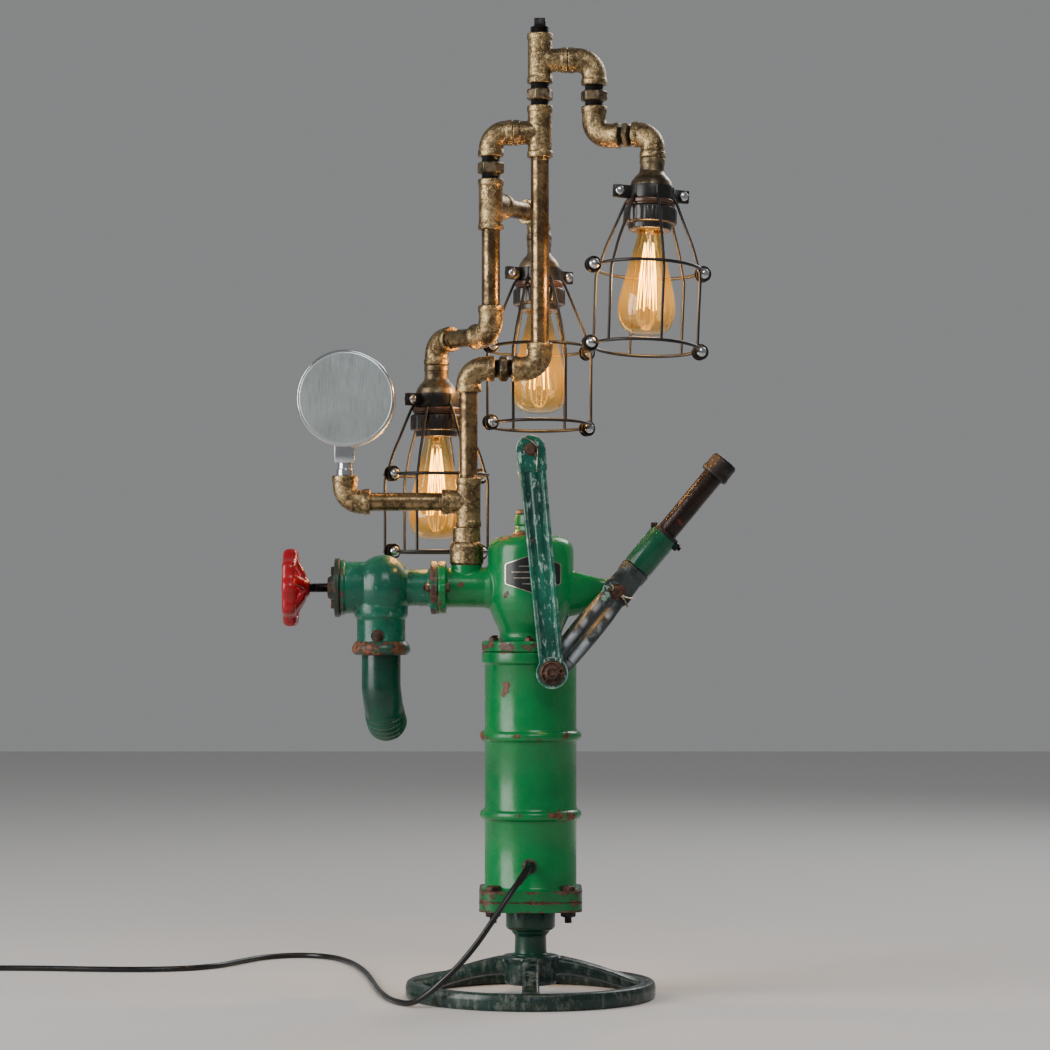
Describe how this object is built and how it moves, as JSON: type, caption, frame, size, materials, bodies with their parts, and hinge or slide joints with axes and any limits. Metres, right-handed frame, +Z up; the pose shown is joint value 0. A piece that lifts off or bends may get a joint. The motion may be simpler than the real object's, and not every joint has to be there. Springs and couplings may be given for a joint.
{
  "type": "hand lift pump table lamp",
  "caption": "Cast hand lift pump made into a table lamp, with lever and lift links, outlet valve, handwheel base, pipe-fitting tree, caged filament lamps, gauge and cord.",
  "frame": {"origin": "on the surface it stands on, below the middle of the lamp without its cord", "axes": "+Z up, +X towards the pump handle, -Y the front, where the cord leaves the barrel"},
  "size_m": [0.9994, 0.5445, 1.1014],
  "materials": {
    "cast_base": "old dark green paint worn to iron",
    "enamel_green": "glossy enamel with rust chips",
    "enamel_teal": "worn glossy enamel",
    "enamel_dark": "worn paint over cast iron",
    "lever_iron": "worn dark paint",
    "rusty_steel": "oiled dark rust",
    "bronze_fitting": "bronzed malleable iron",
    "black_steel": "blackened steel",
    "bright_steel": "brushed, polished edge",
    "wheel_red": "glossy red enamel",
    "bakelite": "black bakelite with a brass bell",
    "bulb_glass": "amber glass",
    "guard_wire": "black lacquered wire",
    "rubber": "black cord sheath",
    "plug_plastic": "moulded black",
    "leather": "oiled cup leather on the piston",
    "pointer_black": "matt black"
  },
  "bodies": {
    "base": {"base_handwheel": "cast_base", "base_stem": "cast_base", "bottom_flange": "enamel_green", "pump_cylinder": "enamel_green", "pump_head": "enamel_green", "gland_nut": "rusty_steel", "fulcrum_pin": "rusty_steel", "valve_body": "enamel_teal", "valve_bonnet": "enamel_teal", "spout": "enamel_teal", "riser_reducer": "bronze_fitting", "riser_tee": "bronze_fitting", "gauge_arm": "bronze_fitting", "riser_pipe": "bronze_fitting", "offset_elbow_low": "bronze_fitting", "offset_elbow_high": "bronze_fitting", "main_pipe": "bronze_fitting", "left_tee": "bronze_fitting", "top_tee": "bronze_fitting", "top_plug": "black_steel", "right_elbow_high": "bronze_fitting", "right_elbow_low": "bronze_fitting", "lamp_elbow_1": "bronze_fitting", "left_elbow": "bronze_fitting", "rear_tee": "bronze_fitting", "drop_pipe": "bronze_fitting", "lamp_arm_2": "bronze_fitting", "drop_elbow": "bronze_fitting", "lamp_arm_3": "bronze_fitting", "gauge_case": "bright_steel", "gauge_bezel": "bright_steel", "lamp_holder_1": "bakelite", "lamp_holder_2": "bakelite", "lamp_holder_3": "bakelite", "bulb_1": "bulb_glass", "bulb_2": "bulb_glass", "bulb_3": "bulb_glass", "cage_1_front": "guard_wire", "cage_1_back": "guard_wire", "cage_2_front": "guard_wire", "cage_2_back": "guard_wire", "cage_3_front": "guard_wire", "cage_3_back": "guard_wire", "cord_grommet": "rubber", "cord_lead": "rubber", "cord_coil": "rubber", "cord_plug": "plug_plastic"},
    "lever": {"lever_arm": "lever_iron", "handle_sleeve": "enamel_green", "handle_pipe": "rusty_steel", "handle_cap": "rusty_steel"},
    "links": {"link_front": "enamel_dark", "link_back": "enamel_dark"},
    "rod": {"piston_rod": "rusty_steel", "crosshead_pin": "rusty_steel", "piston": "leather"},
    "valve_disc": {"valve_disc": "bronze_fitting"},
    "valve_wheel": {"valve_wheel": "wheel_red", "valve_stem": "black_steel"},
    "gauge_pointer": {"gauge_pointer": "pointer_black"}
  },
  "joints": [
    {"name": "lever_pivot", "type": "hinge", "parent": "base", "child": "lever", "pos_m": [0.12074, -0.0007, 0.45398], "axis": [0, 1, 0], "range_deg": [-5, 10]},
    {"name": "rod_slide", "type": "slide", "parent": "base", "child": "rod", "axis": [0, 0, 1], "range_m": [-0.0075, 0.0149]},
    {"name": "link_pivot", "type": "hinge", "parent": "lever", "child": "links", "pos_m": [0.0468, -0.0007, 0.3646], "axis": [0, 1, 0], "range_deg": [-6.6, 3.3]},
    {"name": "disc_travel", "type": "slide", "parent": "base", "child": "valve_disc", "axis": [1, 0, 0], "range_m": [0, 0.01051]},
    {"name": "valve_turn", "type": "hinge", "parent": "valve_disc", "child": "valve_wheel", "pos_m": [-0.2462, -0.0007, 0.4588], "axis": [1, 0, 0], "range_deg": [0, 1080]},
    {"name": "gauge_swing", "type": "hinge", "parent": "base", "child": "gauge_pointer", "pos_m": [-0.1842, -0.0007, 0.671], "axis": [0, -1, 0], "range_deg": [0, 270], "stiffness_Nm_per_rad": 0.002}
  ],
  "couplings": [
    {"joint": "rod_slide", "follows": "lever_pivot", "m_per_rad": 0.085},
    {"joint": "link_pivot", "follows": "lever_pivot", "ratio": -0.655},
    {"joint": "disc_travel", "follows": "valve_turn", "m_per_rad": 0.00055704}
  ]
}
